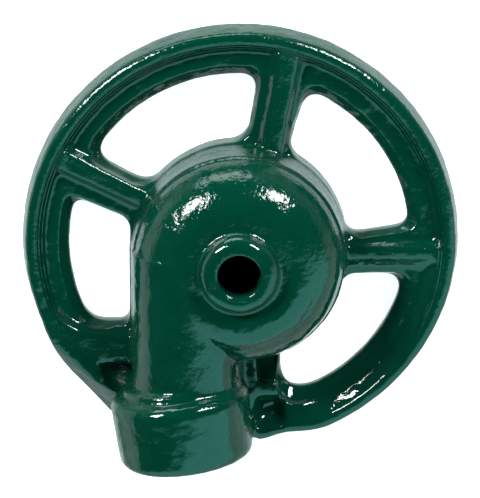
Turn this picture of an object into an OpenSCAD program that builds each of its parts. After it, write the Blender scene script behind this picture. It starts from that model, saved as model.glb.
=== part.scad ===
// Stationary whirl-type lawn sprinkler on a spoked cast-iron wheel base.
// It lies flat as used: origin on the nozzle axis at ground level, +Z up the
// nozzle, hose inlet towards -Y. The iron is one casting in reality; its named
// regions meet face to face here, and the rubber hose washer is a loose piece.

/* [Wheel rim] */
// Outer diameter of the wheel at the ground
wheel_d = 112; // [108:0.5:118]
// Diameter of the circle that the windows reach out to
window_d = 87.6; // [85:0.1:89]
// Height of the inner flange
flange_h = 7.2; // [6:0.1:8]
// Height of the raised bead round the outer edge
bead_h = 10.2; // [9:0.1:12]
// Width of the bead, measured over its foot
bead_w = 4.3; // [4:0.1:5]
// Sideways throw of the rim circle from the nozzle axis, a casting offset
rim_shift_x = 0.25; // [-0.5:0.05:0.5]
// Fore-and-aft throw of the rim circle from the nozzle axis
rim_shift_y = 1.0; // [0:0.05:1.2]

/* [Spokes] */
// Width of a spoke's flange
spoke_w = 10.4; // [9:0.1:11]
// Height of a spoke's flange
spoke_h = 6.6; // [5.5:0.1:7]
// Width of the rib along the top of a spoke
rib_w = 4.4; // [3.5:0.1:5]
// Height of the rib's crest
rib_h = 9.6; // [8.5:0.1:10]
// Radius of the flare where a spoke meets the rim or the chamber
flare_r = 5; // [3:0.5:6]

/* [Whirl chamber] */
// Diameter of the chamber at its shoulder
chamber_d = 53.2; // [52:0.1:54]
// Diameter of the chamber's skirt at the ground
skirt_d = 55.8; // [55:0.1:57]
// Height of the shoulder, where skirt turns into dome
shoulder_h = 17.2; // [16:0.1:18]
// Radius of the swirling tube that forms the dome
swirl_r = 13.4; // [13:0.1:13.5]
// Wall thickness of the dome and skirt
wall_t = 4.2; // [3.5:0.1:5]
// Thickness of the chamber's floor
floor_t = 5; // [4:0.5:7]

/* [Nozzle] */
// Diameter of the nozzle bore
nozzle_d = 10.7; // [8:0.1:12]
// Outer diameter of the nozzle boss
boss_d = 20.6; // [20:0.1:22]
// Height of the boss face above the ground
boss_h = 34.5; // [33:0.1:36]
// Chamfer round the boss face
boss_chamfer = 1.2; // [0.5:0.1:2]

/* [Hose inlet] */
// Distance of the inlet tube's axis to the left of the nozzle axis
inlet_x = 13.3; // [13.2:0.1:13.6]
// Diameter of the water passage
passage_d = 16; // [14:0.5:16.5]
// Outer diameter of the threaded collar at its root
collar_d = 35.4; // [35:0.1:35.6]
// Outer diameter of the collar near its mouth
collar_mouth_d = 34.4; // [33:0.1:35]
// Length of the collar
collar_l = 18.6; // [17:0.1:19]
// Distance of the collar's mouth in front of the nozzle axis
mouth_y = 52.4; // [51:0.1:54]
// Angle that the collar is turned from the tube's line
collar_yaw = 7; // [5:0.5:8]
// Minor diameter of the garden hose thread, 3/4 inch
thread_minor_d = 24.4; // [24.1:0.1:24.7]
// Length of the threaded stretch
thread_l = 11.4; // [10:0.1:12]

/* [Hose washer] */
// Outer diameter of the flat rubber washer
washer_d = 25.4; // [25:0.1:25.8]
// Hole in the washer
washer_hole_d = 15.9; // [15:0.1:17]
// Thickness of the washer
washer_t = 3.2; // [2.5:0.1:3.2]

/* [Hidden] */
$fn = 96;

enamel = "darkgreen";
eps = 0.01;
far = 100;

rim_r = wheel_d / 2;
window_r = window_d / 2;
foot_round = 1.6;
wall_draft = 0.9;
bead_crest_w = 2.4;
groove_w = 2;
flange_edge = 2.6;

skirt_r = skirt_d / 2;
shoulder_r = chamber_d / 2;
torus_r = shoulder_r - swirl_r;
dome_top = shoulder_h + swirl_r;
hollow_r = shoulder_r - wall_t;
hollow_swirl_r = swirl_r - wall_t;
hollow_top = shoulder_h + hollow_swirl_r;

tube_side = inlet_x + swirl_r + 0.2;
tube_foot = tube_side + (skirt_d - chamber_d) / 2;
tube_root = 38;

collar_axis_h = collar_d / 2 + 0.1;
mouth_x = inlet_x;
collar_round = 2.2;
collar_shoulder = 3;
seat_r = washer_d / 2 + 0.2;
seat_start = thread_l;
lead_in = 1.4;

spoke_top_angle = 76;
spoke_right_angle = -2.5;
spoke_upper_left_angle = 154;
spoke_lower_left_y = 25.5;
spoke_lower_right_x = 5.8;
web_h = 3.2;
flat_angle_left = 221.5;
flat_left = 54;
flat_angle_right = 281;
flat_right = 50.6;

// Points of an arc, as [x, y] pairs
function arc(cx, cy, r, from, to, steps = 10) =
    [for (i = [0:steps]) let (a = from + (to - from) * i / steps)
        [cx + r * cos(a), cy + r * sin(a)]];

// ---- Rim -----------------------------------------------------------------

// Section of the rim: rounded foot, drafted outer wall, bead, groove, flange
module rim_section() {
    inner = 40;
    crest_round = 1.6;
    bead_out = rim_r - wall_draft;
    bead_in = rim_r - bead_w;
    groove_in = bead_in - groove_w;
    polygon(concat(
        [[inner, 0]],
        arc(rim_r - foot_round, foot_round, foot_round, -90, 0, 6),
        [
            [bead_out, bead_h - crest_round],
            [bead_out - 0.9, bead_h - 0.2],
            [bead_out - crest_round, bead_h],
            [bead_out - bead_crest_w, bead_h - 0.1],
            [bead_in, flange_h + 0.9],
            [bead_in - 0.5, flange_h - 0.6],
            [groove_in + 0.7, flange_h - 0.6],
            [groove_in, flange_h],
            [inner, flange_h]
        ]));
}

// Space inside the windows' circle, with the rolled inner edge of the flange
module window_core() {
    translate([rim_shift_x, rim_shift_y, 0]) rotate_extrude()
        polygon([
            [0, -1], [window_r + 0.8, -1], [window_r + 0.3, 1.2],
            [window_r, 3.6], [window_r + 0.2, 5], [window_r + 0.9, 6.2],
            [window_r + flange_edge, flange_h], [window_r + flange_edge, 20], [0, 20]
        ]);
}

// Straight cuts: one on each side of the collar, and one level with its mouth
module rim_flats() {
    for (cut = [[flat_angle_left, flat_left], [flat_angle_right, flat_right]])
        rotate(cut[0]) translate([cut[1], -20, -1]) cube([20, 40, 20]);
    at_mouth() translate([-collar_d / 2, -20, -20]) cube([collar_d, 40, 20]);
}

module whole_rim() {
    difference() {
        translate([rim_shift_x, rim_shift_y, 0]) rotate_extrude() rim_section();
        rim_flats();
    }
}

module rim() {
    color(enamel)
    difference() {
        whole_rim();
        window_core();
        collar_body();
        pocket_right();
        translate([0, 0, -1]) left_column(far);
        for (a = [spoke_top_angle, spoke_right_angle, spoke_upper_left_angle]) rotate(a) spoke_rib();
        lower_left_rib();
    }
}

// ---- Spokes --------------------------------------------------------------

// Outline of a spoke along +X, flared towards both ends
module spoke_outline(from, to) {
    half = spoke_w / 2;
    union() {
        translate([from, -half]) square([to - from, spoke_w]);
        for (side = [-1, 1]) {
            difference() {
                translate([from, side > 0 ? half - eps : -half - flare_r + eps])
                    square([flare_r, flare_r]);
                translate([from + flare_r, side * (half + flare_r)]) circle(r = flare_r);
            }
            difference() {
                translate([to - flare_r, side > 0 ? half - eps : -half - flare_r + eps])
                    square([flare_r, flare_r]);
                translate([to - flare_r, side * (half + flare_r)]) circle(r = flare_r);
            }
        }
    }
}

// Rib along the top of a spoke, from the chamber to the rim's bead
module spoke_rib() {
    translate([20, -rib_w / 2, spoke_h - 1])
        cube([rim_r - bead_w - 20, rib_w, rib_h - spoke_h + 1]);
}

// A straight radial spoke: flange with its rib, cut to the rim and the chamber
module radial_spoke(angle) {
    color(enamel)
    difference() {
        rotate(angle) union() {
            intersection() {
                linear_extrude(spoke_h) spoke_outline(25, 47);
                window_core();
            }
            spoke_rib();
        }
        skirt_body();
    }
}

module lower_left_rib() {
    translate([-44.5, -spoke_lower_left_y - rib_w / 2, spoke_h - 1])
        cube([25, rib_w, rib_h - spoke_h + 1]);
}

module lower_left_plate() {
    translate([-49, -spoke_lower_left_y - spoke_w / 2, 0]) cube([30, spoke_w, spoke_h]);
}

module lower_right_plate() {
    translate([spoke_lower_right_x - 5, -48, 0]) cube([spoke_w - 0.6, 30, spoke_h - 0.6]);
}

module spoke_top() { radial_spoke(spoke_top_angle); }
module spoke_right() { radial_spoke(spoke_right_angle); }
module spoke_upper_left() { radial_spoke(spoke_upper_left_angle); }

module spoke_lower_left() {
    color(enamel)
    difference() {
        union() {
            intersection() { lower_left_plate(); window_core(); }
            lower_left_rib();
        }
        skirt_body();
        tube_body();
    }
}

module spoke_lower_right() {
    color(enamel)
    difference() {
        intersection() { lower_right_plate(); window_core(); }
        skirt_body();
        tube_body();
        collar_body();
        pocket_right();
    }
}

// ---- Webs beside the collar ----------------------------------------------

// Recess in the top, to the right of the collar
module pocket_right() {
    translate([4.4, -46.6, web_h]) cube([7, 7, far]);
}

// Triangular column to the left of the tube, between the spoke and the collar
module left_column(height) {
    linear_extrude(height)
        polygon([[-36.5, -30.7], [-27, -30.7], [-27, -38.6], [-28.6, -38.6], [-33.2, -35.4]]);
}

// Thin floor of the recess to the left of the collar
module web_left() {
    color(enamel)
    difference() {
        left_column(web_h);
        tube_body();
        collar_body();
    }
}

// Gusset between the collar, the tube and the lower right spoke
module web_right() {
    color(enamel)
    difference() {
        intersection() {
            translate([-27, -46, 0]) cube([29, 20, spoke_h]);
            window_core();
        }
        translate([0, 0, -1]) left_column(far);
        lower_right_plate();
        skirt_body();
        tube_body();
        collar_body();
    }
}

// ---- Whirl chamber -------------------------------------------------------

// Radius of the drafted skirt at a height
function skirt_at(h) = skirt_r + (shoulder_r - skirt_r) * h / shoulder_h;

// Solid of the drafted skirt
module skirt_body() { cylinder(h = shoulder_h, r1 = skirt_r, r2 = shoulder_r); }

// Outer shape of the chamber, solid: the skirt under a torus-shaped dome
module chamber_body() {
    rotate_extrude()
        polygon(concat([[0, 0], [skirt_r, 0]],
            arc(torus_r, shoulder_h, swirl_r, 0, 90, 12), [[0, dome_top]]));
}

// The passage that feeds the hollow, tangent to its wall
module passage() {
    translate([-inlet_x, 0, shoulder_h]) rotate([90, 45, 0]) cylinder(h = tube_root, d = passage_d);
}

module chamber_floor() {
    color(enamel) cylinder(h = floor_t, r1 = skirt_r, r2 = skirt_at(floor_t));
}

module chamber_wall() {
    fillet = 3;
    color(enamel)
    difference() {
        rotate_extrude()
            polygon([
                [hollow_r - fillet, floor_t], [skirt_at(floor_t), floor_t],
                [shoulder_r, shoulder_h], [hollow_r, shoulder_h], [hollow_r, floor_t + fillet]
            ]);
        passage();
    }
}

module chamber_dome() {
    boss_r = boss_d / 2;
    color(enamel)
    difference() {
        rotate_extrude()
            polygon(concat(
                arc(torus_r, shoulder_h, swirl_r, 0, 90, 12),
                [[boss_r, dome_top], [boss_r, hollow_top]],
                arc(torus_r, shoulder_h, hollow_swirl_r, 90, 0, 10)));
        passage();
    }
}

module nozzle_boss() {
    color(enamel)
    difference() {
        union() {
            translate([0, 0, hollow_top]) cylinder(h = boss_h - boss_chamfer - hollow_top, d = boss_d);
            translate([0, 0, boss_h - boss_chamfer])
                cylinder(h = boss_chamfer, d1 = boss_d, d2 = boss_d - 2 * boss_chamfer);
        }
        translate([0, 0, hollow_top - 1]) cylinder(h = boss_h, d = nozzle_d);
    }
}

// ---- Hose inlet ----------------------------------------------------------

// Outer shape of the inlet tube: a half-round top on drafted sides
module tube_body() {
    translate([-inlet_x, 0, 0]) rotate([90, 0, 0])
        linear_extrude(tube_root)
            polygon(concat([[inlet_x - tube_foot, 0], [tube_foot - inlet_x, 0]],
                [for (p = arc(0, shoulder_h, tube_side - inlet_x, 0, 180, 20)) p]));
}

module at_mouth() {
    translate([-mouth_x, -mouth_y, collar_axis_h]) rotate([0, 0, collar_yaw]) rotate([-90, 0, 0])
        children();
}

// Outer shape of the collar, from its mouth back to its rounded shoulder
module collar_body() {
    mouth_r = collar_mouth_d / 2;
    root_r = collar_d / 2;
    at_mouth() rotate_extrude()
        polygon(concat([[0, 0]],
            arc(mouth_r - collar_round, collar_round, collar_round, -90, 0, 6),
            arc(root_r - collar_shoulder, collar_l - collar_shoulder, collar_shoulder, 0, 90, 6),
            [[0, collar_l]]));
}

module inlet_tube() {
    color(enamel)
    difference() {
        tube_body();
        chamber_body();
        passage();
        collar_body();
    }
}

module inlet_collar() {
    color(enamel)
    difference() {
        collar_body();
        at_mouth() {
            translate([0, 0, -1]) cylinder(h = seat_start + 1 + eps, d = thread_minor_d);
            translate([0, 0, seat_start]) cylinder(h = washer_t, r = seat_r);
            translate([0, 0, -eps]) cylinder(h = lead_in, d1 = thread_minor_d + 2 * lead_in, d2 = thread_minor_d);
            cylinder(h = collar_l + 2, d = passage_d - 1);
        }
        passage();
    }
}

module hose_washer() {
    color("dimgray")
    at_mouth() translate([0, 0, seat_start])
        difference() {
            cylinder(h = washer_t, d = washer_d);
            translate([0, 0, -1]) cylinder(h = washer_t + 2, d = washer_hole_d);
        }
}

rim();
spoke_top();
spoke_right();
spoke_upper_left();
spoke_lower_left();
spoke_lower_right();
web_left();
web_right();
chamber_floor();
chamber_wall();
chamber_dome();
nozzle_boss();
inlet_tube();
inlet_collar();
hose_washer();
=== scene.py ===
"""A whirl lawn sprinkler on a spoked wheel base: one enamelled iron casting and its rubber hose washer.

The casting is modelled the way its foundry pattern is built up: profiled and turned solids for the rim,
spokes, whirl chamber, nozzle boss, inlet tube and collar are joined, melted into one skin with rounded
corners, bored out, and then parted into the named regions of the frame.
"""

from __future__ import annotations

import logging
import math
from dataclasses import dataclass, field
from enum import Enum

import bpy
from mathutils import Euler, Matrix, Vector

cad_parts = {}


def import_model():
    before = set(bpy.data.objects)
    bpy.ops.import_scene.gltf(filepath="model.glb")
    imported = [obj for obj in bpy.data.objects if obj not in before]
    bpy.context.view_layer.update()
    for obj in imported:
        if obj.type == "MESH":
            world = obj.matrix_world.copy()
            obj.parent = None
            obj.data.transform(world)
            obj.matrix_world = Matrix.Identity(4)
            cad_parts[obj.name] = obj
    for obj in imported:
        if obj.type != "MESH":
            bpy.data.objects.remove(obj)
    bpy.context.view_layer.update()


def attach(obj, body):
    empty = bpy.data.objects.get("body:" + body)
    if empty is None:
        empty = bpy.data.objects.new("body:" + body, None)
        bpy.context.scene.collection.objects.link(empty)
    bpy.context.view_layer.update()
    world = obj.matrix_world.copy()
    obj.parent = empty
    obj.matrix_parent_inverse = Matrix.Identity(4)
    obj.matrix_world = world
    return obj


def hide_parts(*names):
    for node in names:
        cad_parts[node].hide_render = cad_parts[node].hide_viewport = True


MM = 0.001
BODY = "root"
LOG = logging.getLogger("sprinkler")

Point2 = tuple[float, float]
Point3 = tuple[float, float, float]


# ---------------------------------------------------------------- bench tools


def clear_selection() -> None:
    """Leave edit mode and deselect everything."""
    active = bpy.context.view_layer.objects.active
    if active and active.mode != "OBJECT":
        bpy.ops.object.mode_set(mode="OBJECT")
    bpy.ops.object.select_all(action="DESELECT")


def pick(*objects: bpy.types.Object) -> None:
    """Select only these objects, with the first one active."""
    clear_selection()
    for obj in objects:
        obj.select_set(True)
    bpy.context.view_layer.objects.active = objects[0]


def modify(obj: bpy.types.Object, kind: str, **settings: object) -> None:
    """Add a modifier with these settings and apply it.

    Args:
        obj: The object to change.
        kind: Modifier type, such as "BOOLEAN".
        **settings: Values for the modifier's properties.
    """
    pick(obj)
    modifier = obj.modifiers.new(kind.title(), kind)
    for name, value in settings.items():
        setattr(modifier, name, value)
    bpy.ops.object.modifier_apply(modifier=modifier.name)


def combine(obj: bpy.types.Object, tool: bpy.types.Object, operation: str, keep: bool = False) -> None:
    """Cut, intersect or unite an object with a tool solid.

    Args:
        obj: The solid to change.
        tool: The other solid.
        operation: DIFFERENCE, INTERSECT or UNION.
        keep: Whether the tool stays in the scene.
    """
    modify(obj, "BOOLEAN", operation=operation, solver="MANIFOLD", object=tool)
    if not keep:
        bpy.data.objects.remove(tool, do_unlink=True)


def duplicate(obj: bpy.types.Object, name: str) -> bpy.types.Object:
    """Copy an object together with its mesh."""
    twin = obj.copy()
    twin.data = obj.data.copy()
    twin.name = name
    bpy.context.collection.objects.link(twin)
    return twin


def tidy_solid(obj: bpy.types.Object) -> None:
    """Merge doubled vertices and turn every face outwards."""
    pick(obj)
    bpy.ops.object.mode_set(mode="EDIT")
    bpy.ops.mesh.select_all(action="SELECT")
    bpy.ops.mesh.remove_doubles(threshold=0.001 * MM)
    bpy.ops.mesh.normals_make_consistent(inside=False)
    bpy.ops.object.mode_set(mode="OBJECT")


def outline_mesh(name: str, outline: list[Point3], filled: bool) -> bpy.types.Object:
    """Add a circle primitive and pull its vertices onto an outline.

    Args:
        name: Name of the new object.
        outline: Closed outline, mm.
        filled: Whether the outline is filled with one face.

    Returns:
        The new object, at the origin.
    """
    clear_selection()
    fill = "NGON" if filled else "NOTHING"
    bpy.ops.mesh.primitive_circle_add(vertices=len(outline), radius=MM, fill_type=fill)
    obj = bpy.context.object
    obj.name = name
    for vertex, place in zip(obj.data.vertices, outline):
        vertex.co = Vector(place) * MM
    return obj


def turned(name: str, outline: list[Point2], steps: int = 144) -> bpy.types.Object:
    """Turn a closed outline about +Z, as on a lathe.

    Args:
        name: Name of the new object.
        outline: Closed outline as (radius, height), mm.
        steps: Facets round the turn.

    Returns:
        A closed solid.
    """
    obj = outline_mesh(name, [(r, 0.0, z) for r, z in outline], filled=False)
    pick(obj)
    bpy.ops.object.mode_set(mode="EDIT")
    bpy.ops.mesh.select_all(action="SELECT")
    bpy.ops.mesh.spin(steps=steps, angle=math.tau, center=(0, 0, 0), axis=(0, 0, -1))
    bpy.ops.object.mode_set(mode="OBJECT")
    tidy_solid(obj)
    return obj


def stacked(name: str, layers: list[tuple[list[Point2], float]]) -> bpy.types.Object:
    """Extrude an outline upwards layer by layer, each layer with its own outline of equally many points.

    Args:
        name: Name of the new object.
        layers: Outline in plan and height of each layer, mm, from the bottom up.

    Returns:
        A closed solid.
    """
    first, bottom = layers[0]
    obj = outline_mesh(name, [(x, y, bottom) for x, y in first], filled=True)
    count = len(first)
    pick(obj)
    bpy.ops.object.mode_set(mode="EDIT")
    bpy.ops.mesh.select_all(action="SELECT")
    for _ in layers[1:]:
        bpy.ops.mesh.extrude_region_move(TRANSFORM_OT_translate={"value": (0, 0, MM)})
    bpy.ops.object.mode_set(mode="OBJECT")
    for level, (outline, height) in enumerate(layers):
        ring = obj.data.vertices[level * count : (level + 1) * count]
        for vertex, (x, y) in zip(ring, outline):
            vertex.co = Vector((x, y, height)) * MM
    tidy_solid(obj)
    return obj


def place(obj: bpy.types.Object, matrix: Matrix) -> bpy.types.Object:
    """Move an object's mesh by a matrix whose translation is in mm, and return the object."""
    scaled = matrix.copy()
    scaled.translation = scaled.translation * MM
    obj.data.transform(scaled)
    return obj


# ---------------------------------------------------------------- drawing tools


def arc(centre: Point2, radius: float, start: float, end: float, steps: int = 8) -> list[Point2]:
    """Points along an arc.

    Args:
        centre: Centre of the arc, mm.
        radius: Radius, mm.
        start: Angle of the first point, degrees.
        end: Angle of the last point, degrees.
        steps: Number of chords.

    Returns:
        steps + 1 points, mm.
    """
    angles = [math.radians(start + (end - start) * i / steps) for i in range(steps + 1)]
    return [(centre[0] + radius * math.cos(a), centre[1] + radius * math.sin(a)) for a in angles]


@dataclass(frozen=True)
class Corner:
    """A corner of an outline in plan.

    soft is how far from the corner its rounding starts, and grow is the share by which the edge that
    starts here moves outwards when the outline is grown.
    """

    x: float
    y: float
    soft: float = 0.0
    grow: float = 1.0


def grown(corners: list[Corner], amount: float) -> list[Corner]:
    """Move each edge of a counter-clockwise outline outwards by its share of an amount.

    Args:
        corners: The outline's corners.
        amount: Distance for an edge whose share is 1, mm. Negative shrinks the outline.

    Returns:
        The corners where the moved edges cross.
    """
    moved = []
    for index, here in enumerate(corners):
        before = corners[index - 1]
        after = corners[(index + 1) % len(corners)]
        a = Vector((here.x - before.x, here.y - before.y)).normalized()
        b = Vector((after.x - here.x, after.y - here.y)).normalized()
        p = Vector((here.x + a.y * amount * before.grow, here.y - a.x * amount * before.grow))
        q = Vector((here.x + b.y * amount * here.grow, here.y - b.x * amount * here.grow))
        cross = a.x * b.y - a.y * b.x
        if abs(cross) < 0.01:
            spot = (p + q) / 2
        else:
            along = ((q.x - p.x) * b.y - (q.y - p.y) * b.x) / cross
            spot = p + a * along
        moved.append(Corner(spot.x, spot.y, here.soft, here.grow))
    return moved


def softened(corners: list[Corner], steps: int = 8) -> list[Point2]:
    """Round the corners of an outline.

    Args:
        corners: The outline's corners. One with a soft distance may be followed by close ones, as on an arc.
        steps: Chords in each rounding.

    Returns:
        The outline's points, mm, always equally many for the same row of corners.
    """
    count = len(corners)

    def walk(index: int, direction: int, distance: float) -> Vector:
        """Point at a distance along the outline from one of its corners."""
        here = Vector((corners[index].x, corners[index].y))
        for step in range(1, count):
            there = corners[(index + direction * step) % count]
            leg = Vector((there.x, there.y)) - here
            if leg.length >= distance:
                return here + leg * (distance / leg.length)
            distance -= leg.length
            here = Vector((there.x, there.y))
        return here

    soft_ones = [i for i, corner in enumerate(corners) if corner.soft]

    def swallowed(index: int) -> bool:
        """Whether the rounding of another corner replaces this one."""
        for other in soft_ones:
            reach = Vector((corners[index].x - corners[other].x, corners[index].y - corners[other].y))
            if reach.length < corners[other].soft:
                return True
        return False

    points: list[Point2] = []
    for index, corner in enumerate(corners):
        if corner.soft:
            tip = Vector((corner.x, corner.y))
            enter = walk(index, -1, corner.soft)
            leave = walk(index, 1, corner.soft)
            for i in range(steps + 1):
                t = i / steps
                spot = enter * (1 - t) ** 2 + tip * 2 * t * (1 - t) + leave * t**2
                points.append((spot.x, spot.y))
        elif not swallowed(index):
            points.append((corner.x, corner.y))
    return points


def resampled(points: list[Point2], count: int = 180) -> list[Point2]:
    """Spread a fixed number of points evenly along a closed outline."""
    legs = [math.dist(points[i - 1], points[i]) for i in range(len(points))]
    step = sum(legs) / count
    spread: list[Point2] = []
    travelled = 0.0
    for index, leg in enumerate(legs):
        (x0, y0), (x1, y1) = points[index - 1], points[index]
        while len(spread) < count and len(spread) * step <= travelled + leg:
            share = (len(spread) * step - travelled) / leg if leg else 0.0
            spread.append((x0 + (x1 - x0) * share, y0 + (y1 - y0) * share))
        travelled += leg
    return spread


def profiled(name: str, corners: list[Corner], profile: list[Point2]) -> bpy.types.Object:
    """A plate or a cutter whose edge follows a profile.

    Args:
        name: Name of the new object.
        corners: Its outline in plan, counter-clockwise.
        profile: Pairs of (growth of the outline, height) from the bottom up, mm.

    Returns:
        A closed solid.
    """
    return stacked(name, [(resampled(softened(grown(corners, out))), z) for out, z in profile])


# ---------------------------------------------------------------- the casting's parts


@dataclass
class WheelRim:
    """The rim and the spokes' ribs as one raised frame, cut back beside the collar."""

    centre: Point2 = (0.3, 1.45)
    radius: float = 55.9
    crown_top: float = 10.2
    slack: float = 0.9
    slack_from: float = -10.0
    left_chord: tuple[Point2, Point2] = ((-49.1, -28.1), (-37.2, -41.2))
    right_dip: tuple[Point2, ...] = ((18.5, -50.0), (11.5, -50.1), (4.6, -52.9))

    def outline(self) -> list[Corner]:
        """Outline of the rim in plan, a little slack at its lower right and closed inside the collar."""
        start, end, steps = -65.0, 209.9, 92
        slack_run = 40.0
        corners = []
        for i in range(steps + 1):
            angle = start + (end - start) * i / steps
            sag = min(1.0, max(0.0, (self.slack_from - angle) / slack_run)) * self.slack
            ((x, y),) = arc(self.centre, self.radius - sag, angle, angle, 1)[:1]
            corners.append(Corner(x, y))
        corners[-1] = Corner(*self.left_chord[0], soft=9)
        corners += [Corner(*self.left_chord[1], soft=6), Corner(-32.6, -46.5, soft=2), Corner(-27, -50)]
        corners += [Corner(0, -50), Corner(2.5, -51.0)]
        for spot, soft in zip(reversed(self.right_dip), (2, 3, 4)):
            corners.append(Corner(*spot, soft=soft))
        return corners

    def plate(self) -> bpy.types.Object:
        """The raised frame before its pockets are cut, with a drafted outer wall and a rounded crown."""
        edge = [(-1.4, 0.0), (-0.4, 0.5), (0.0, 1.6), (0.0, 3.0), (-0.35, 5.4), (-0.7, 7.6), (-0.95, 8.8)]
        edge += [(-1.4, 9.7), (-2.2, self.crown_top), (-3.0, self.crown_top + 0.1), (-4.4, 9.9)]
        edge += [(-7, 9.6), (-11, 9.6)]
        return profiled("rim plate", self.outline(), edge)


class WindowKind(Enum):
    """Which of the four openings a window is."""

    LEFT = "left"
    TOP = "top"
    RIGHT_TOP = "right_top"
    RIGHT_BOTTOM = "right_bottom"


@dataclass
class Windows:
    """The four openings, each bounded by the rim, two spokes and the chamber."""

    rim: WheelRim
    centre: Point2 = (0.25, 1.0)
    radius: float = 43.8
    hub_radius: float = 27.6
    rim_roll: float = 2.6
    spoke_roll: float = 1.1

    def rim_side(self, start: float, end: float, trim: float, softs: Point2) -> list[Corner]:
        """The rim side of a window as an arc about the windows' centre, with a soft corner at each end."""
        steps = max(6, round((end - start) / 3))
        points = arc(self.centre, self.radius - trim, start, end, steps)
        corners = [Corner(x, y, grow=self.rim_roll) for x, y in points]
        corners[0] = Corner(*points[0], soft=softs[0], grow=self.rim_roll)
        corners[-1] = Corner(*points[-1], soft=softs[1], grow=self.spoke_roll)
        return corners

    def hub_side(self, start: float, end: float, softs: Point2, more: float = 0.0) -> list[Corner]:
        """The chamber side of a window as an arc about the nozzle axis, with a soft corner at each end."""
        steps = max(4, round(abs(end - start) / 4))
        points = arc((0, 0), self.hub_radius + more, start, end, steps)
        corners = [Corner(x, y, grow=0) for x, y in points]
        corners[0] = Corner(*points[0], soft=softs[0], grow=0)
        corners[-1] = Corner(*points[-1], soft=softs[1], grow=self.spoke_roll)
        return corners

    def outline(self, kind: WindowKind) -> list[Corner]:
        """Outline of a window in plan, counter-clockwise, at its narrowest level."""
        if kind is WindowKind.LEFT:
            inner = [Corner(-28.2, -20.1, 3.3, 0), Corner(-28.2, 0, 0, 0)]
            inner += [Corner(-27.8, 6.9, 3.3, self.spoke_roll)]
            return self.rim_side(164.4, 208.8, -0.1, (3.5, 4.5)) + inner
        if kind is WindowKind.TOP:
            return self.rim_side(84.1, 148.6, -0.1, (4.5, 6)) + self.hub_side(144.6, 86.2, (5, 5.5))
        if kind is WindowKind.RIGHT_TOP:
            return self.rim_side(5.9, 67.0, 0.4, (3.8, 5)) + self.hub_side(63.9, 6.0, (5, 4.5))
        return self.rim_side(-76.1, -11.3, 0.9, (10, 6)) + self.hub_side(-16, -67.5, (2.5, 3), 0.35)

    def cutter(self, kind: WindowKind) -> bpy.types.Object:
        """Cutter for a window, with the rolled edge towards the flange."""
        profile = [(0.35, -1.0), (0.35, 0.2), (0.1, 1.2), (0.0, 2.6), (0.0, 4.3), (1.0, 7.25), (1.1, 14.0)]
        return profiled("window " + kind.value, self.outline(kind), profile)

    def pocket(self, kind: WindowKind) -> bpy.types.Object:
        """Cutter for the sunken panel round a window, whose sides slope up to the bead and the ribs."""
        floor = 7.2
        slope = [(0.0, floor), (0.25, floor + 0.5), (1.4, 9.3), (1.9, 10.0), (3.2, 12.0)]
        if kind is WindowKind.LEFT:
            corners = self.panel_rim(158.1, 206.0, 50.0, (2.5, 9))
            corners += [Corner(-26, -21.8), Corner(-24, 0), Corner(-22.9, 9.1)]
        elif kind is WindowKind.TOP:
            corners = self.panel_rim(80.6, 149.5, 50.0, (2.5, 2.5))
            corners += [Corner(-18.2, 13.8), Corner(0, 20), Corner(3.8, 24.3)]
        elif kind is WindowKind.RIGHT_TOP:
            corners = self.panel_rim(0.6, 71.7, 50.0, (2.5, 2.5))
            corners += [Corner(11.2, 22.9), Corner(18, 14), Corner(24, 2.3)]
        else:
            corners = self.panel_rim(-64.0, -8.0, 47.4, (4, 3))
            corners += [Corner(24, -5.2), Corner(18, -14), Corner(13, -28), Corner(13.6, -36, soft=3)]
            slope = [(0.0, floor), (0.4, floor + 0.2), (3.0, 9.3), (3.4, 9.8), (4.2, 12.0)]
        return profiled("pocket " + kind.value, corners, slope)

    def panel_rim(self, start: float, end: float, radius: float, softs: Point2) -> list[Corner]:
        """The rim side of a pocket as an arc about the rim's centre, with a soft corner at each end."""
        points = arc(self.rim.centre, radius, start, end, round((end - start) / 3))
        corners = [Corner(x, y) for x, y in points]
        corners[0] = Corner(*points[0], soft=softs[0])
        corners[-1] = Corner(*points[-1], soft=softs[1])
        return corners


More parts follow.
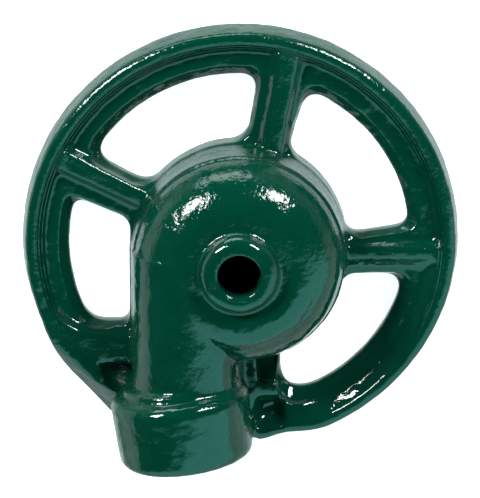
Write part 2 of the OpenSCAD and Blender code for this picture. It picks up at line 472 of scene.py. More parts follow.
@dataclass
class CollarFlanks:
    """What is cast beside the collar: a recess and a haunch on each side, and the scoop beside the tube."""

    left_floor: float = 6.0
    right_floor: float = 5.6
    slope: float = 52.0
    heading: float = 227.0

    def recesses(self) -> list[bpy.types.Object]:
        """Cutters for the two recesses and the scoop."""
        left = [Corner(-35.6, -31.0, 3), Corner(-33.2, -35.4, 2), Corner(-29.2, -38.2, 2)]
        left += [Corner(-25, -37.4), Corner(-25, -31.0)]
        right = [Corner(4.8, -46.2, 2), Corner(10.4, -45.8, 2), Corner(10.6, -40.1, 2)]
        right += [Corner(5.0, -40.3, 2)]
        walls = [(-2.2, 0.0), (-1.2, 0.5), (-0.2, 1.5), (0.9, 3.2), (1.8, 4.6), (2.2, 9.0)]
        lefty = profiled("left recess", left, [(out, z + self.left_floor) for out, z in walls])
        righty = profiled("right recess", right, [(out, z + self.right_floor) for out, z in walls])
        scoop_corners = [Corner(4.8, -36.0), Corner(9.6, -36.0), Corner(9.6, -20), Corner(4.8, -20)]
        scoop = profiled("scoop", scoop_corners, [(0, 0.0), (0.8, 12.0)])
        tilt = Euler((math.radians(-20), 0, 0)).to_matrix().to_4x4()
        place(scoop, Matrix.Translation((0, -36.2, 7.6)) @ tilt @ Matrix.Translation((0, 36.2, 0)))
        return [lefty, righty, scoop]

    def slope_cut(self) -> bpy.types.Object:
        """Cutter for the plane that runs from the rim's lower left edge up into the collar's side."""
        square = [(-14.0, -16.0), (14.0, -16.0), (14.0, 20.0), (-14.0, 20.0)]
        cut = stacked("slope", [(square, 0.0), (square, 14.0)])
        lean = Euler((0, math.radians(self.slope), math.radians(self.heading)), "XYZ").to_matrix().to_4x4()
        return place(cut, Matrix.Translation((-39.1, -38.7, 4.6)) @ lean)

    def haunches(self) -> list[bpy.types.Object]:
        """The swellings that carry the rim up into the collar's sides."""
        left = [Corner(-37.6, -33.8, 2), Corner(-34.2, -45.6, 3), Corner(-24, -47.5), Corner(-24, -39.4)]
        left += [Corner(-29.6, -39.0, 1), Corner(-34.2, -35.8, 1)]
        right = [Corner(-6, -51.6), Corner(3.4, -52.4, 1), Corner(7.4, -49.8, 3), Corner(4.6, -44, 2)]
        right += [Corner(4.2, -36), Corner(-6, -36)]
        right_rise = [(0, 0), (-0.3, 5.0), (-1.0, 8.0), (-2.2, 11.0), (-3.6, 14.0)]
        left_rise = [(0, 0), (0, 16.0)]
        return [profiled("left haunch", left, left_rise), profiled("right haunch", right, right_rise)]


@dataclass
class WhirlChamber:
    """The drafted skirt, its torus-shaped dome and the space inside."""

    skirt: float = 27.9
    shoulder: float = 26.6
    shoulder_height: float = 17.2
    swirl: float = 13.4
    flash_width: float = 0.3
    outer_shift: float = -0.3
    ridge: float = 8.0
    ridge_tilt: float = 2.2
    wall: float = 4.2
    floor: float = 5.0

    def torus(self) -> float:
        """Radius of the circle that the swirl tube's centre follows."""
        return self.shoulder - self.swirl

    def top(self) -> float:
        """Height of the dome."""
        return self.shoulder_height + self.swirl

    def body(self) -> bpy.types.Object:
        """Outer shape of the chamber."""
        h = self.shoulder_height
        flash = self.shoulder + self.flash_width
        section = [(0, 0), (self.skirt - 0.6, 0), (self.skirt, 0.8)]
        section += [(self.shoulder + 0.2, h - 0.9), (flash, h - 0.3)]
        section += [(flash, h + 0.1)] + arc((self.torus() - 0.35, h + 0.1), self.swirl - 0.1, 4, 90, 24)
        shell = turned("chamber", section + [(0, self.top())], 180)
        return place(shell, Matrix.Translation((0, self.outer_shift, 0)))

    def swirl_ridge(self) -> bpy.types.Object:
        """The swelling where the water coils in, proud of the dome before the boss and sunk behind it."""
        ridge = turned("swirl ridge", arc((14.4, 0), self.ridge, -180, 180, 48)[:-1], 144)
        tilt = Matrix.Rotation(math.radians(-self.ridge_tilt), 4, "X")
        return place(ridge, Matrix.Translation((0, 0, self.top() + 0.1 - self.ridge)) @ tilt)

    def hollow(self) -> bpy.types.Object:
        """Cutter for the space that the water whirls in."""
        inner = self.swirl - self.wall
        edge = self.torus() + inner
        section = [(0, self.floor)] + arc((edge - 3, self.floor + 3), 3, -90, 0, 5)
        section += arc((self.torus(), self.shoulder_height), inner, 0, 90, 10)
        return turned("hollow", section + [(0, self.shoulder_height + inner)], 96)


@dataclass
class Nozzle:
    """The low boss on the dome and its bore."""

    radius: float = 9.7
    face: float = 8.0
    bore: float = 5.35
    top: float = 34.5
    foot: float = 30.4

    def boss(self) -> bpy.types.Object:
        """The boss with its rounded edge and its fillet to the dome."""
        low = self.foot
        section = [(0, 24), (11.5, 24), (11.5, low - 0.3), (10.6, low + 0.1)]
        section += [(10.2, low + 0.5), (9.9, low + 1.2)]
        section += [(self.radius, low + 2.2), (9.3, self.top - 1.3), (8.8, self.top - 0.6)]
        section += [(self.face, self.top - 0.1), (self.face - 0.4, self.top), (0, self.top)]
        return turned("boss", section)

    def hole(self) -> bpy.types.Object:
        """Cutter for the bore, with its rounded lip."""
        lip = arc((self.bore + 0.7, self.top - 0.7), 0.7, 180, 90, 5)
        section = [(0, 20), (self.bore, 20)] + lip + [(self.bore + 0.7, self.top + 2), (0, self.top + 2)]
        return turned("nozzle bore", section, 96)


@dataclass
class HoseInlet:
    """The inlet tube, the collar at its end, the water passage and the hose thread."""

    tube_axis: float = -13.3
    tube_radius: float = 13.6
    tube_foot: float = 14.9
    shoulder_height: float = 17.2
    passage: float = 8.0
    mouth: Point3 = (-13.3, -52.4, 17.8)
    yaw: float = 7.0
    length: float = 18.6
    root_radius: float = 17.7
    mouth_radius: float = 17.2
    thread_minor: float = 12.2
    thread_major: float = 13.5
    thread_pitch: float = 25.4 / 11.5
    thread_length: float = 11.4
    washer_radius: float = 12.7
    washer_hole: float = 7.95
    washer_thickness: float = 3.2

    def along(self) -> Matrix:
        """Places a turned shape with its base at the mouth and its height into the collar."""
        turn = Euler((math.radians(-90), 0, math.radians(self.yaw))).to_matrix().to_4x4()
        return Matrix.Translation(self.mouth) @ turn

    def tube(self) -> bpy.types.Object:
        """The tube: an arch on drafted sides."""
        h = self.shoulder_height
        arch = arc((0, h), self.tube_radius, 4, 176, 36)
        outline = [(-self.tube_foot, 0.0), (self.tube_foot, 0.0), (self.tube_radius + 0.2, h - 0.6)]
        outline += arch + [(-self.tube_radius - 0.2, h - 0.6)]
        tube = stacked("tube", [(outline, -2.0), (outline, 37.0)])
        turn = Matrix.Rotation(math.radians(90), 4, "X")
        return place(tube, Matrix.Translation((self.tube_axis, 0, 0)) @ turn)

    def collar(self) -> bpy.types.Object:
        """The collar with its rounded mouth and shoulder."""
        section = [(0, 0)] + arc((self.mouth_radius - 2.2, 2.2), 2.2, -90, 0, 6)
        section += arc((self.root_radius - 3.2, self.length - 3.2), 3.2, 0, 90, 8)
        return place(turned("collar", section + [(0, self.length)], 144), self.along())

    def neck(self) -> bpy.types.Object:
        """The cove between the collar's shoulder and the tube."""
        section = [(0, self.length - 4), (self.root_radius - 3.5, self.length - 4)]
        section += [(14.6, self.length - 0.4), (14.0, self.length + 0.6), (13.7, self.length + 2.0)]
        return place(turned("neck", section + [(0, self.length + 2.0)], 96), self.along())

    def web(self) -> bpy.types.Object:
        """The gusset between the tube, the collar and the lower right spoke."""
        corners = [Corner(-4, -46), Corner(4.4, -46), Corner(4.4, -24), Corner(-4, -24)]
        return profiled("gusset", corners, [(0, 0), (0, 5.6), (-0.6, 7.4), (-1.6, 8.4)])

    def passage_cut(self) -> bpy.types.Object:
        """Cutter for the passage, tangent to the chamber's inner wall."""
        clear_selection()
        bpy.ops.mesh.primitive_cylinder_add(vertices=96, radius=self.passage * MM, depth=38 * MM)
        turn = Matrix.Rotation(math.radians(90), 4, "X")
        spot = Matrix.Translation((self.tube_axis, -19, self.shoulder_height))
        return place(bpy.context.object, spot @ turn)

    def bore_cut(self) -> bpy.types.Object:
        """Cutter for the threaded bore and the washer's seat behind it."""
        turns_end = self.thread_length - 0.4
        steps, flank, flat, lead_in = 64, 6.4, 1.6, 1.2
        rows = [(self.thread_minor, -2.0)]
        rows += [(self.thread_minor, turns_end * i / steps) for i in range(steps + 1)]
        seat = self.washer_radius + 0.2
        rows += [(seat, self.thread_length - 0.3), (seat, self.thread_length + self.washer_thickness)]
        rows += [(self.passage - 0.5, self.thread_length + self.washer_thickness)]
        rows += [(self.passage - 0.5, self.length + 2)]
        cut = turned("threaded bore", [(0, -2.0)] + rows + [(0, self.length + 2)], 96)
        for vertex in cut.data.vertices:
            height = vertex.co.z / MM
            radius = vertex.co.xy.length / MM
            if -0.1 <= height <= turns_end and radius > self.thread_minor - 0.1:
                phase = (height / self.thread_pitch - math.atan2(vertex.co.y, vertex.co.x) / math.tau) % 1
                depth = max(0.0, min(1.0, flat - abs(phase - 0.5) * flank))
                lead = max(0.0, 1.0 - height / lead_in)
                cut_by = (self.thread_major - self.thread_minor) * max(depth, lead)
                vertex.co.xy *= (self.thread_minor + cut_by) / radius
        return place(cut, self.along())


@dataclass
class Region:
    """A named region of the casting and the simple cell that parts it from the rest."""

    name: str
    cell: bpy.types.Object


@dataclass
class Casting:
    """The whole iron casting."""

    rim: WheelRim = field(default_factory=WheelRim)
    flanks: CollarFlanks = field(default_factory=CollarFlanks)
    chamber: WhirlChamber = field(default_factory=WhirlChamber)
    nozzle: Nozzle = field(default_factory=Nozzle)
    inlet: HoseInlet = field(default_factory=HoseInlet)
    voxel: float = 0.42
    quick_voxel: float = 0.6
    unevenness: tuple[Point2, ...] = ((9.0, 0.34), (3.2, 0.16))

    def pattern(self) -> bpy.types.Object:
        """The pattern: all the solids of the casting, melted into one skin."""
        windows = Windows(self.rim)
        plate = self.rim.plate()
        cutters = [windows.pocket(kind) for kind in WindowKind]
        cutters += [windows.cutter(kind) for kind in WindowKind]
        for cutter in cutters + self.flanks.recesses():
            combine(plate, cutter, "DIFFERENCE")
        left_haunch, right_haunch = self.flanks.haunches()
        combine(left_haunch, self.flanks.slope_cut(), "DIFFERENCE")
        combine(plate, self.flanks.slope_cut(), "DIFFERENCE")
        solids = [plate, self.chamber.body(), self.chamber.swirl_ridge(), self.nozzle.boss()]
        solids += [left_haunch, right_haunch]
        solids += [self.inlet.tube(), self.inlet.collar(), self.inlet.neck(), self.inlet.web()]
        pick(*solids)
        bpy.ops.object.join()
        size = self.voxel
        modify(plate, "REMESH", mode="VOXEL", voxel_size=size * MM)
        plate.name = "casting"
        return plate

    def blend_zones(self, skin: bpy.types.Object) -> None:
        """Mark where the pattern maker filled the inside corners with wax, as a vertex group."""
        group = skin.vertex_groups.new(name="fillet")
        turn = self.inlet.along().copy()
        turn.translation = turn.translation * MM
        to_mouth = turn.inverted()
        strong: dict[int, list[int]] = {}
        for vertex in skin.data.vertices:
            x, y, z = vertex.co / MM
            reach = math.hypot(x, y)
            behind = (to_mouth @ vertex.co).z / MM
            weight = 0.0
            if 4 < z < 13 and 25.5 < reach < 32 and y > -20:
                weight = 0.8
            if z > 4 and behind > 17 and y < -24:
                weight = 1.0
            if (x > -4 or x < -27) and y < -28 and reach > 24:
                weight = max(weight, 0.7)
            if weight:
                strong.setdefault(round(weight * 10), []).append(vertex.index)
        for weight, members in strong.items():
            group.add(members, weight / 10, "REPLACE")

    def weather(self, skin: bpy.types.Object) -> None:
        """Give the skin its rounded corners, the unevenness of sand casting and a flat base."""
        self.blend_zones(skin)
        modify(skin, "SMOOTH", factor=0.5, iterations=4)
        modify(skin, "SMOOTH", factor=0.5, iterations=14, vertex_group="fillet")
        for scale, height in self.unevenness:
            texture = bpy.data.textures.new("sand", "CLOUDS")
            texture.noise_scale = scale * MM
            settings = {"texture": texture, "texture_coords": "LOCAL", "strength": height * MM}
            modify(skin, "DISPLACE", mid_level=0.5, **settings)
        for vertex in skin.data.vertices:
            vertex.co.z = max(vertex.co.z, 0.0)

    def machine(self, skin: bpy.types.Object) -> None:
        """Bore the nozzle, the whirl space, the passage and the threaded inlet."""
        inside = (self.chamber.hollow(), self.nozzle.hole(), self.inlet.passage_cut(), self.inlet.bore_cut())
        for cutter in inside:
            combine(skin, cutter, "DIFFERENCE")
        pick(skin)
        bpy.ops.object.shade_smooth_by_angle(angle=math.radians(42))

    def regions(self) -> list[Region]:
        """Cells for the casting's regions, in the order they are parted. The rim is what remains."""
        edge = self.chamber.skirt + 0.3
        levels = [-1.0, self.chamber.floor, self.chamber.shoulder_height, 40.0]
        slabs = [
            turned(f"cell {low}", [(0, low), (edge, low), (edge, high), (0, high)], 96)
            for low, high in zip(levels, levels[1:])
        ]
        hollow_top = self.chamber.shoulder_height + self.chamber.swirl - self.chamber.wall
        boss = turned("cell boss", [(0, hollow_top), (12.4, hollow_top), (12.4, 40), (0, 40)], 96)
        root = self.inlet.root_radius + 0.5
        section = [(0, -4), (root, -4), (root, self.inlet.length), (0, self.inlet.length)]
        collar = turned("cell collar", section, 96)
        place(collar, self.inlet.along())
        tube = self.block((-28.6, -38), (0.9, -1))
        core = turned("core", [(0, -3), (23, -3), (23, 42), (0, 42)], 96)
        combine(tube, core, "DIFFERENCE")
        regions = [Region("nozzle_boss", boss), Region("inlet_collar", collar), Region("inlet_tube", tube)]
        names = ("chamber_floor", "chamber_wall", "chamber_dome")
        regions += [Region(name, cell) for name, cell in zip(names, slabs)]
        spokes = (("spoke_top", 60, 92), ("spoke_right", -20, 14), ("spoke_upper_left", 138, 172))
        for name, start, end in spokes:
            regions.append(Region(name, self.sector(start, end)))
        regions.append(Region("spoke_lower_left", self.block((-45.2, -30.7), (-24, -15))))
        regions.append(Region("spoke_lower_right", self.block((4.7, -41), (13.5, -20))))
        regions.append(Region("web_left", self.block((-38, -40), (-26, -30.7))))
        regions.append(Region("web_right", self.block((-30, -46), (4.7, -20))))
        return regions

    def block(self, low: Point2, high: Point2) -> bpy.types.Object:
        """A cell with an upright rectangular section."""
        (x0, y0), (x1, y1) = low, high
        corners = [(x0, y0), (x1, y0), (x1, y1), (x0, y1)]
        return stacked("cell block", [(corners, -2.0), (corners, 41.0)])

    def sector(self, start: float, end: float) -> bpy.types.Object:
        """A cell that spans a spoke out to the windows' circle."""
        outline = [(0.0, 0.0)] + arc(self.rim.centre, 45.0, start, end, 12)
        return stacked("cell sector", [(outline, -2.0), (outline, 41.0)])

    def build(self) -> dict[str, bpy.types.Object]:
        """Make the casting and part it into its named regions.

        Returns:
            The finished pieces by the name of the frame node that each stands for.
        """
        skin = self.pattern()
        self.weather(skin)
        self.machine(skin)
        rest = duplicate(skin, "rim_cast")
        pieces: dict[str, bpy.types.Object] = {}
        for region in self.regions():
            piece = duplicate(rest, region.name + "_cast")
            combine(piece, region.cell, "INTERSECT", keep=True)
            combine(rest, region.cell, "DIFFERENCE")
            pieces[region.name] = piece
        pieces["rim"] = rest
        for piece in pieces.values():
            self.keep_skin_shading(piece, skin)
        bpy.data.objects.remove(skin, do_unlink=True)
        return pieces

    def keep_skin_shading(self, piece: bpy.types.Object, skin: bpy.types.Object) -> None:
        """Copy the whole skin's shading onto a region, so that no joint shows where regions meet."""
        settings = {"use_loop_data": True, "data_types_loops": {"CUSTOM_NORMAL"}}
        modify(piece, "DATA_TRANSFER", object=skin, loop_mapping="POLYINTERP_NEAREST", **settings)


@dataclass
class HoseWasher:
    """The flat rubber washer behind the hose thread."""

    inlet: HoseInlet = field(default_factory=HoseInlet)
    rounding: float = 0.35

    def build(self) -> bpy.types.Object:
        """Turn the washer, with its moulded edges rounded and a shallow sealing rib on its face."""
        inner, outer = self.inlet.washer_hole, self.inlet.washer_radius
        low = self.inlet.thread_length
        high = low + self.inlet.washer_thickness
        e = self.rounding
        section = arc((outer - e, low + e), e, -90, 0, 4) + arc((outer - e, high - e), e, 0, 90, 4)
        section += arc((inner + e, high - e), e, 90, 180, 4) + arc((inner + e, low + e), e, 180, 270, 4)
        middle = (inner + outer) / 2
        section += [(middle - 0.6, low), (middle - 0.4, low + 0.25)]
        section += [(middle + 0.4, low + 0.25), (middle + 0.6, low)]
        washer = place(turned("hose_washer_rubber", section, 120), self.inlet.along())
        pick(washer)
        bpy.ops.object.shade_smooth_by_angle(angle=math.radians(35))
        return washer


# ---------------------------------------------------------------- finishes


def linear(code: str) -> tuple[float, float, float, float]:
    """Turn an sRGB hex colour into linear light."""
    parts = [int(code[i : i + 2], 16) / 255 for i in (1, 3, 5)]
    values = [p / 12.92 if p <= 0.04045 else ((p + 0.055) / 1.055) ** 2.4 for p in parts]
    return (values[0], values[1], values[2], 1.0)


def add_node(
    tree: bpy.types.NodeTree, kind: str, links: dict[str | int, object] | None = None, **settings: object
) -> bpy.types.Node:
    """Add a node with its settings, and fill its inputs.

    Args:
        tree: The node tree.
        kind: Node type, such as "ShaderNodeTexNoise".
        links: For each input name or number, a socket to link from or a value to set.
        **settings: Values for the node's own properties.

    Returns:
        The new node.
    """
    node = tree.nodes.new(kind)
    for name, value in settings.items():
        setattr(node, name, value)
    for name, source in (links or {}).items():
        if isinstance(source, bpy.types.NodeSocket):
            tree.links.new(source, node.inputs[name])
        else:
            node.inputs[name].default_value = source
    return node


@dataclass(frozen=True)
class Fade:
    """A run from one value to another while a measure changes, held at both ends.

    Attributes:
        of: Name of the measure.
        start: The measure where the run starts.
        end: The measure where it ends.
        low: Value at the start.
        high: Value at the end.
    """

    of: str
    start: float
    end: float
    low: float = 0.0
    high: float = 1.0

    def inputs(self, measures: dict[str, bpy.types.NodeSocket]) -> dict[str, object]:
        """Inputs of the map range node that makes the run."""
        values = {"Value": measures[self.of], "From Min": self.start, "From Max": self.end}
        return values | {"To Min": self.low, "To Max": self.high}


@dataclass(frozen=True)
class CastEnamel:
    """Thick gloss enamel dipped over sand-cast iron.

    It flows smooth in hollows and low down, and keeps the sand grain on tops. It is dull and finely
    streaked on the steep walls that were drawn out of the sand. A darker band along the parting line at
    the dome's shoulder is painted shade, standing in for the shadow in the crease under the flash. Heights
    are in mm.
    """

    deep: str = "#002c1f"
    light: str = "#013628"
    # painted shade: the darker green laid along the parting line for the shadow in the crease under the
    # flash
    painted_seam_shade: str = "#001c14"
    gloss: float = 0.04
    patchiness: float = 0.06
    wall_dullness: float = 0.2
    seam_dullness: float = 0.4
    ior: float = 1.5
    lump_mm: float = 4.5
    grain_mm: float = 1.15
    streak_mm: float = 0.5
    turning_mm: float = 0.75
    turned_band: Point2 = (50.3, 52.6)
    lump_height: float = 0.23
    low_grain_height: float = 0.012
    top_grain_height: float = 0.13
    tube_share: float = 0.65
    streak_height: float = 0.07
    turning_height: float = 0.15
    seam_raggedness: float = 0.9

    def zones(self) -> dict[str, list[Fade]]:
        """Where the casting looks different. Each zone is the product of its fades, in mm."""
        first, last = self.turned_band
        return {
            "steep": [Fade("level", 0.45, 0.2)],
            "patchy": [Fade("grain", 0.35, 0.75)],
            "upper": [Fade("y", -10, 6), Fade("z", 14, 18)],
            "off_boss": [Fade("z", 32, 31)],
            "frame_top": [Fade("z", 8.2, 9.2), Fade("z", 12, 11), Fade("y", -22, -8)],
            "tube_top": [Fade("y", -14, -20), Fade("z", 12, 15)],
            # where the painted shade goes: a ragged band along the parting line at the dome's shoulder,
            # which is also duller
            "painted_seam_shade": [
                Fade("ragged", 16.9, 17.1),
                Fade("ragged", 17.75, 17.6),
                Fade("reach", 25.4, 25.8),
                Fade("y", -35, -33),
            ],
            "band": [
                Fade("radius", first - 0.2, first + 0.2),
                Fade("radius", last + 0.2, last - 0.2),
                Fade("z", 10.4, 9.4),
                Fade("y", -26, -20),
            ],
        }

    def steps(self) -> list[tuple[str, str, tuple[str | float, ...]]]:
        """The arithmetic from zones and noises to roughness and relief: result, operation and terms."""
        return [
            ("tube_top", "MULTIPLY", ("tube_top", self.tube_share)),
            ("grainy", "MAXIMUM", ("upper", "frame_top")),
            ("grainy", "MAXIMUM", ("grainy", "tube_top")),
            ("grainy", "MULTIPLY", ("grainy", "off_boss")),
            ("roughness", "MULTIPLY_ADD", ("patchy", self.patchiness, self.gloss)),
            ("roughness", "MULTIPLY_ADD", ("steep", self.wall_dullness, "roughness")),
            ("roughness", "MULTIPLY_ADD", ("painted_seam_shade", self.seam_dullness, "roughness")),
            ("grain_height", "MULTIPLY_ADD", ("grainy", self.top_grain_height, self.low_grain_height)),
            ("streak_height", "MULTIPLY", ("steep", self.streak_height)),
            ("turning_height", "MULTIPLY", ("band", self.turning_height)),
            ("turning", "MULTIPLY", ("radius", math.tau / self.turning_mm)),
            ("turning", "SINE", ("turning",)),
            ("relief", "MULTIPLY", ("lumps", self.lump_height)),
            ("relief", "MULTIPLY_ADD", ("grain", "grain_height", "relief")),
            ("relief", "MULTIPLY_ADD", ("streak", "streak_height", "relief")),
            ("relief", "MULTIPLY_ADD", ("turning", "turning_height", "relief")),
        ]

    def measures(self, tree: bpy.types.NodeTree, rim_centre: Point2) -> dict[str, bpy.types.NodeSocket]:
        """Add the nodes that tell where a point of the casting is, how level it is and its noises.

        Args:
            tree: The material's node tree.
            rim_centre: Centre of the rim, mm.
        """
        spot = add_node(tree, "ShaderNodeTexCoord").outputs["Object"]
        found = {}
        noises = {"lumps": (self.lump_mm, 3), "grain": (self.grain_mm, 4), "streak": (self.streak_mm, 2)}
        for name, (size, detail) in noises.items():
            inputs = {"Vector": spot, "Scale": 1 / (size * MM), "Detail": detail}
            found[name] = add_node(tree, "ShaderNodeTexNoise", inputs).outputs["Fac"]
        normal = add_node(tree, "ShaderNodeNewGeometry").outputs["Normal"]
        facing = add_node(tree, "ShaderNodeSeparateXYZ", {"Vector": normal}).outputs["Z"]
        found["level"] = add_node(tree, "ShaderNodeMath", {0: facing}, operation="ABSOLUTE").outputs["Value"]
        scaled = {0: spot, "Scale": 1 / MM}
        in_mm = add_node(tree, "ShaderNodeVectorMath", scaled, operation="SCALE").outputs["Vector"]
        split = add_node(tree, "ShaderNodeSeparateXYZ", {"Vector": in_mm})
        found["y"] = split.outputs["Y"]
        found["z"] = split.outputs["Z"]
        ragged = {0: found["streak"], 1: self.seam_raggedness, 2: found["z"]}
        found["ragged"] = add_node(tree, "ShaderNodeMath", ragged, operation="MULTIPLY_ADD").outputs["Value"]
        for name, centre in (("reach", (0.0, 0.0)), ("radius", rim_centre)):
            steps = {"SUBTRACT": {1: (*centre, 0)}, "MULTIPLY": {1: (1, 1, 0)}, "LENGTH": {}}
            vector = in_mm
            for operation, other in steps.items():
                node = add_node(tree, "ShaderNodeVectorMath", {0: vector} | other, operation=operation)
                vector = node.outputs[0]
            found[name] = node.outputs["Value"]
        return found

    def material(self, rim_centre: Point2) -> bpy.types.Material:
        """Build the material on Object coordinates, so that it runs on from region to region.

        Args:
            rim_centre: Centre of the rim, mm, about which the pattern's turning marks run.
        """
        material = bpy.data.materials.new("green_enamel_on_cast_iron")
        material.use_nodes = True
        tree = material.node_tree
        shader = tree.nodes["Principled BSDF"]
        values = self.measures(tree, rim_centre)
        for name, fades in self.zones().items():
            product = 1.0
            for fade in fades:
                eased = {"links": fade.inputs(values), "interpolation_type": "SMOOTHSTEP"}
                terms = {0: product, 1: add_node(tree, "ShaderNodeMapRange", **eased).outputs["Result"]}
                product = add_node(tree, "ShaderNodeMath", terms, operation="MULTIPLY").outputs["Value"]
            values[name] = product
        for name, operation, terms in self.steps():
            inputs = {i: values.get(term, term) for i, term in enumerate(terms)}
            values[name] = add_node(tree, "ShaderNodeMath", inputs, operation=operation).outputs["Value"]

        colours = {"Factor": values["lumps"], 6: linear(self.deep), 7: linear(self.light)}
        tint = add_node(tree, "ShaderNodeMix", colours, data_type="RGBA")
        # paint the shade of the parting line's crease over the green
        colours = {"Factor": values["painted_seam_shade"], 6: tint.outputs[2], 7: linear(self.painted_seam_shade)}
        paint = add_node(tree, "ShaderNodeMix", colours, data_type="RGBA")
        relief = {"Height": values["relief"], "Strength": 1.0, "Distance": MM}
        bump = add_node(tree, "ShaderNodeBump", relief)
        tree.links.new(paint.outputs[2], shader.inputs["Base Color"])
        tree.links.new(values["roughness"], shader.inputs["Roughness"])
        tree.links.new(bump.outputs["Normal"], shader.inputs["Normal"])
        shader.inputs["IOR"].default_value = self.ior
        return material


@dataclass(frozen=True)
class WasherRubber:
    """Moulded black rubber with a dull bloom."""

    dark: str = "#17181a"
    bloom: str = "#2b2c2e"
    speck_mm: float = 0.9
    speck_height: float = 0.1
    roughness: float = 0.68

    def material(self) -> bpy.types.Material:
        """Build the material."""
        material = bpy.data.materials.new("moulded_washer_rubber")
        material.use_nodes = True
        tree = material.node_tree
        shader = tree.nodes["Principled BSDF"]
        spot = add_node(tree, "ShaderNodeTexCoord").outputs["Object"]
        noise = {"Vector": spot, "Scale": 1 / (self.speck_mm * MM), "Detail": 5.0}
        speck = add_node(tree, "ShaderNodeTexNoise", noise).outputs["Fac"]
        colours = {"Factor": speck, 6: linear(self.dark), 7: linear(self.bloom)}
        tint = add_node(tree, "ShaderNodeMix", colours, data_type="RGBA")
        tree.links.new(tint.outputs[2], shader.inputs["Base Color"])
        shader.inputs["Roughness"].default_value = self.roughness
        relief = {"Height": speck, "Strength": 0.25, "Distance": self.speck_height * MM}
        bump = add_node(tree, "ShaderNodeBump", relief)
        tree.links.new(bump.outputs["Normal"], shader.inputs["Normal"])
        return material


# ---------------------------------------------------------------- the studio


@dataclass(frozen=True)
class Softbox:
    """A softbox that faces the part.

    Attributes:
        azimuth: Direction from +Y towards +X, degrees.
        elevation: Height above the table, degrees.
        width: Angle that the box spans sideways, degrees.
        height: Angle that it spans upwards, degrees.
        power: Power, W.
        reach: Distance from the part, m.
    """

    azimuth: float
    elevation: float
    width: float
    height: float
    power: float
    reach: float = 0.9

    def hang(self) -> None:
        """Add the softbox to the scene."""
        turn, rise = math.radians(self.azimuth), math.radians(self.elevation)
        flat = math.cos(rise)
        away = Vector((math.sin(turn) * flat, math.cos(turn) * flat, math.sin(rise)))
        clear_selection()
        bpy.ops.object.light_add(type="AREA", location=away * self.reach)
        light = bpy.context.object
        light.rotation_euler = away.to_track_quat("Z", "Y").to_euler()
        light.data.shape = "RECTANGLE"
        light.data.size = 2 * self.reach * math.tan(math.radians(self.width / 2))
        light.data.size_y = 2 * self.reach * math.tan(math.radians(self.height / 2))
        light.data.energy = self.power


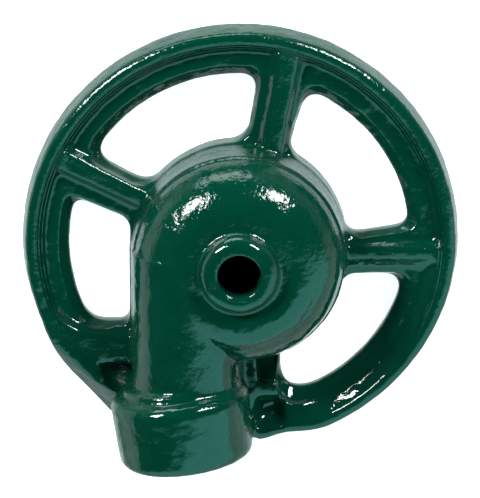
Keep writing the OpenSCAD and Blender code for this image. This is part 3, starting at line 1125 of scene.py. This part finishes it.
@dataclass
class Studio:
    """A white table, two softboxes, the light of the room and the camera."""

    target: Point3 = (0.19, 1.91, 15.0)
    distance: float = 700.0
    tilt: float = 15.5
    lens: float = 200.2
    sensor: float = 36.0
    table: float = 6.0
    table_gap: float = 0.0002
    table_glow: float = 0.9
    table_light: str = "#e2f6f6"
    card_light: str = "#94fff6"
    softboxes: tuple[Softbox, ...] = (Softbox(-46, 33, 19, 15, 11), Softbox(33, 26, 16, 15, 8.5))

    def camera(self) -> None:
        """Look down at the part from above, leaning towards its far side."""
        clear_selection()
        lean = math.radians(self.tilt)
        back = Vector((0, math.sin(lean), math.cos(lean)))
        spot = (Vector(self.target) + back * self.distance) * MM
        bpy.ops.object.camera_add(location=spot, rotation=(-lean, 0, 0))
        camera = bpy.context.object
        camera.data.lens = self.lens
        camera.data.sensor_width = self.sensor
        camera.data.clip_start = 0.05
        bpy.context.scene.camera = camera

    def floor(self) -> None:
        """Lay the white table."""
        clear_selection()
        bpy.ops.mesh.primitive_plane_add(size=self.table, location=(0, 0, -self.table_gap))
        floor = bpy.context.object
        floor.name = "table"
        material = bpy.data.materials.new("white_table")
        material.use_nodes = True
        shader = material.node_tree.nodes["Principled BSDF"]
        shader.inputs["Base Color"].default_value = linear("#f4f4f2")
        shader.inputs["Roughness"].default_value = 0.9
        shader.inputs["Specular IOR Level"].default_value = 0.0
        shader.inputs["Emission Color"].default_value = linear("#ffffff")
        shader.inputs["Emission Strength"].default_value = self.table_glow
        floor.data.materials.append(material)
        floor.visible_glossy = False

    def sky(self) -> None:
        """Light the room.

        The table glows up to the horizon, strongest from straight below and in front. A card of cool light
        stands at the front right, and a low bright strip behind the part.
        """
        world = bpy.data.worlds.new("studio")
        world.use_nodes = True
        tree = world.node_tree
        spot = add_node(tree, "ShaderNodeTexCoord").outputs["Generated"]
        directions = {"up": (0, 0, 1), "right": (1, 0, 0)}
        directions |= {"ahead": (0.35, -1, 0), "behind": (-0.208, 0.978, 0)}
        values = {}
        for name, direction in directions.items():
            dot = add_node(tree, "ShaderNodeVectorMath", {0: spot, 1: direction}, operation="DOT_PRODUCT")
            values[name] = dot.outputs["Value"]
        fades = {
            "horizon": Fade("up", -0.04, 0.1, 1.0, 0.04),
            "below": Fade("up", -0.8, -0.62, 1.4, 0.3),
            "left": Fade("right", -0.85, -0.65, 1.0, 0.0),
            "front": Fade("ahead", 0.1, 0.45, 0.0, 0.85),
            "card": Fade("ahead", 0.32, 0.5, 0.0, 1.95),
            "above": Fade("up", 0.0, 0.1),
            "strip": Fade("behind", 0.91, 0.95, 0.0, 6.0),
            "strip_top": Fade("up", 0.02, -0.03),
            "strip_foot": Fade("up", -0.32, -0.25),
        }
        for name, fade in fades.items():
            values[name] = add_node(tree, "ShaderNodeMapRange", fade.inputs(values)).outputs["Result"]
        steps = (
            ("table", "MAXIMUM", ("front", "left")),
            ("table", "MAXIMUM", ("below", "table")),
            ("table", "MULTIPLY", ("horizon", "table")),
            ("strip_height", "MULTIPLY", ("strip_top", "strip_foot")),
            ("table", "MULTIPLY_ADD", ("strip", "strip_height", "table")),
            ("card", "MULTIPLY", ("card", "above")),
        )
        for name, operation, terms in steps:
            inputs = {i: values[term] for i, term in enumerate(terms)}
            values[name] = add_node(tree, "ShaderNodeMath", inputs, operation=operation).outputs["Value"]
        table_light = tree.nodes["Background"]
        table_light.inputs["Color"].default_value = linear(self.table_light)
        tree.links.new(values["table"], table_light.inputs["Strength"])
        card = {"Color": linear(self.card_light), "Strength": values["card"]}
        card_light = add_node(tree, "ShaderNodeBackground", card)
        both = add_node(tree, "ShaderNodeAddShader", {0: table_light.outputs[0], 1: card_light.outputs[0]})
        tree.links.new(both.outputs["Shader"], tree.nodes["World Output"].inputs["Surface"])
        bpy.context.scene.world = world
        bpy.context.scene.view_settings.view_transform = "Standard"

    def build(self) -> None:
        """Set up the whole studio."""
        self.camera()
        self.floor()
        self.sky()
        for softbox in self.softboxes:
            softbox.hang()


# ---------------------------------------------------------------- the whole part


def main() -> None:
    """Build the sprinkler around its frame."""
    logging.basicConfig(level=logging.INFO, format="%(name)s: %(message)s")
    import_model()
    Studio().build()
    casting = Casting()
    enamel = CastEnamel().material(casting.rim.centre)
    for node, piece in casting.build().items():
        piece.data.materials.clear()
        piece.data.materials.append(enamel)
        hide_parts(node)
        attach(piece, BODY)
        LOG.info("%s: %d faces", piece.name, len(piece.data.polygons))
    washer = HoseWasher(casting.inlet).build()
    washer.data.materials.append(WasherRubber().material())
    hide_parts("hose_washer")
    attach(washer, BODY)
    LOG.info("%s: %d faces", washer.name, len(washer.data.polygons))


if __name__ == "__main__":
    main()
